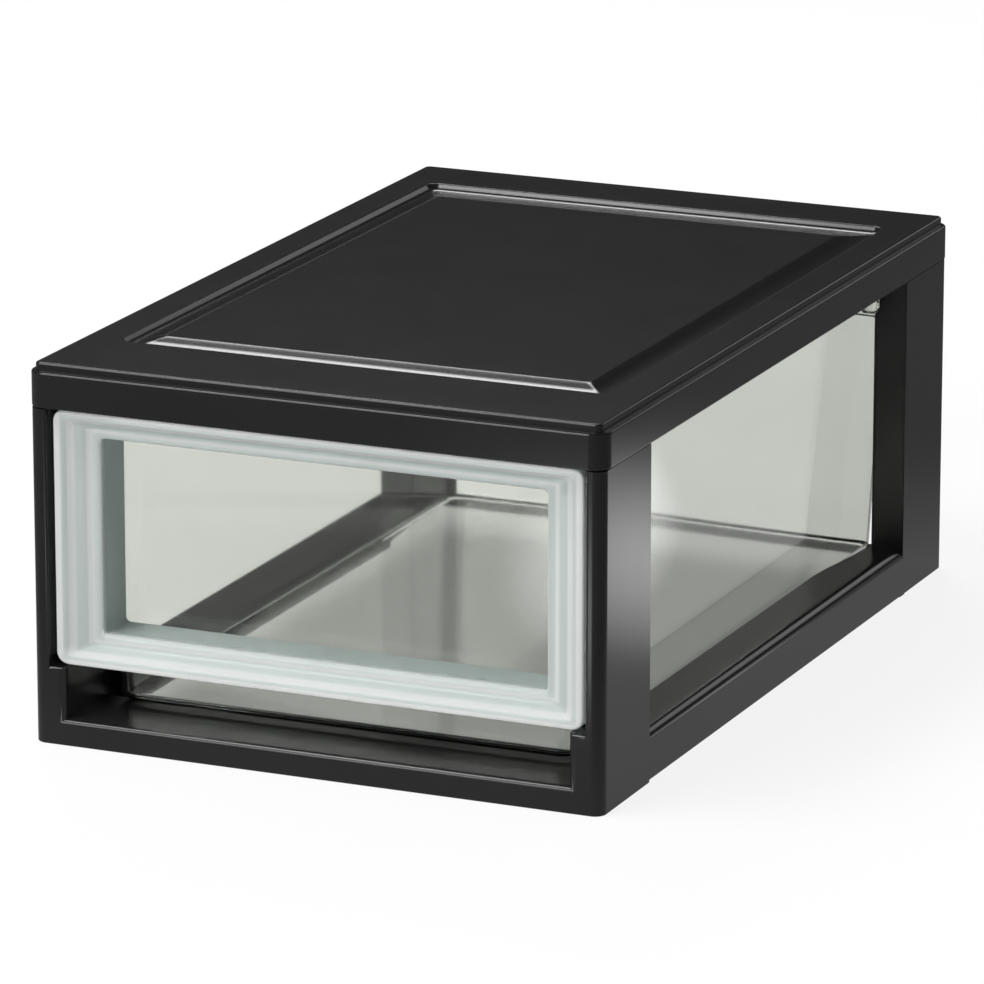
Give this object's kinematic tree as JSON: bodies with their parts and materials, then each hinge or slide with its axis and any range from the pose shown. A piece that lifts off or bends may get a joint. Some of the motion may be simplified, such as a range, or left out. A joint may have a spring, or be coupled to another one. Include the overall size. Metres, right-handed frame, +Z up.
{
  "type": "stackable drawer box",
  "caption": "Stackable desktop drawer box: black open-sided moulded case with a ledged lid and a clear pull-out drawer with a milky framed front.",
  "frame": {"origin": "middle of the footprint on the surface it stands on", "axes": "+X to the right seen from the front, +Y to the back, +Z up; the drawer opens towards -Y"},
  "size_m": [0.222, 0.345, 0.1404],
  "materials": {
    "case_plastic": "satin",
    "clear_plastic": "gloss",
    "milky_plastic": "satin"
  },
  "bodies": {
    "case": {"top_panel": "case_plastic", "front_frame": "case_plastic", "rear_frame": "case_plastic"},
    "drawer": {"drawer_tub": "clear_plastic", "drawer_front": "milky_plastic"}
  },
  "joints": [
    {"name": "drawer_slide", "type": "slide", "parent": "case", "child": "drawer", "axis": [0, -1, 0], "range_m": [0, 0.247]}
  ]
}
